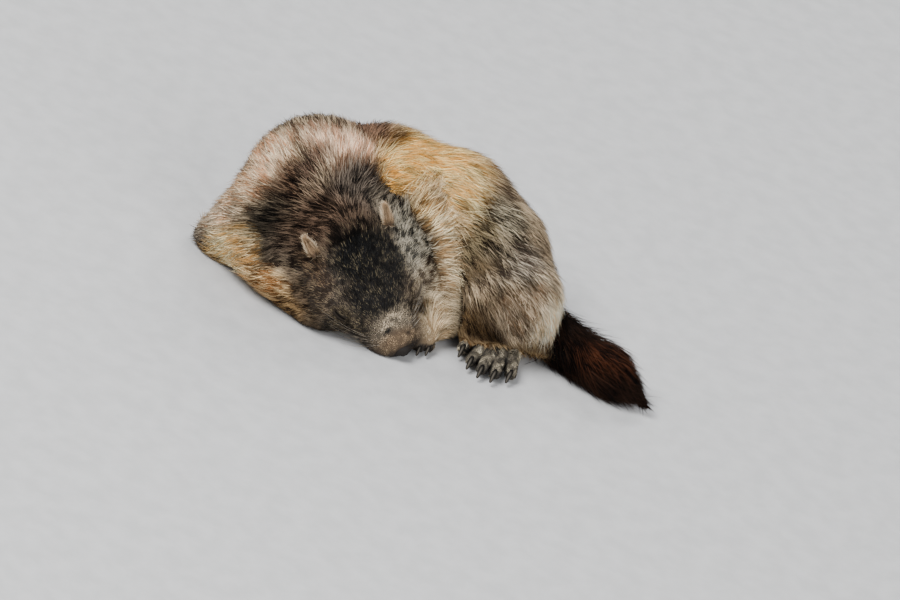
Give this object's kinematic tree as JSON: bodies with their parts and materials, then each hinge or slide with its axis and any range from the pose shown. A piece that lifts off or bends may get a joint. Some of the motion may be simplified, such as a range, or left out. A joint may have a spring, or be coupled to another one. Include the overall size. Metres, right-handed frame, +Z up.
{
  "type": "life-size model of a sleeping alpine marmot",
  "caption": "Alpine marmot asleep on its belly, curled to its left, crown forward and chin on the floor.",
  "frame": {"origin": "on the floor under the middle of the body", "axes": "+Z up, +X towards the tail, -Y towards the side the crown of the head is turned to"},
  "size_m": [0.3715, 0.2135, 0.1199],
  "materials": {
    "coat": "dense matt fur, grey-brown with tan and rufous tips, orange at the fringe of the ruff",
    "crown_fur": "short dark grey-brown fur flecked with pale tips",
    "muzzle_fur": "very short pale tan-grey fur",
    "flank_fur": "dense fur, orange-tan fading to cream",
    "haunch_fur": "dense fur grizzled grey, cream and black",
    "arm_fur": "short pale tan fur",
    "foot_fur": "very short cream fur with grey skin showing",
    "tail_fur": "long dark brown brush with rufous tints",
    "ear_fur": "short pale tan fur on the hollow side of the ear",
    "eyelid": "bare dark lids, shut",
    "nose_skin": "bare dark brown skin, a little moist",
    "claw": "dark grey horn, paler at the edges, worn matt"
  },
  "bodies": {
    "root": {"chest": "coat", "head": "crown_fur", "jaw": "muzzle_fur", "left_arm": "arm_fur", "left_ear": "ear_fur", "left_eye": "eyelid", "left_fore_claw_1": "claw", "left_fore_claw_2": "claw", "left_fore_claw_3": "claw", "left_fore_claw_4": "claw", "left_fore_foot": "foot_fur", "left_hind_claw_1": "claw", "left_hind_claw_2": "claw", "left_hind_claw_3": "claw", "left_hind_claw_4": "claw", "left_hind_claw_5": "claw", "left_hind_foot": "foot_fur", "left_thigh": "haunch_fur", "loin": "flank_fur", "neck": "coat", "nose": "nose_skin", "right_arm": "arm_fur", "right_ear": "ear_fur", "right_eye": "eyelid", "right_fore_claw_1": "claw", "right_fore_claw_2": "claw", "right_fore_claw_3": "claw", "right_fore_claw_4": "claw", "right_fore_foot": "foot_fur", "right_hind_claw_1": "claw", "right_hind_claw_2": "claw", "right_hind_claw_3": "claw", "right_hind_claw_4": "claw", "right_hind_claw_5": "claw", "right_hind_foot": "foot_fur", "right_thigh": "haunch_fur", "rump": "haunch_fur", "tail_base": "tail_fur", "tail_tip": "tail_fur"}
  },
  "joints": []
}
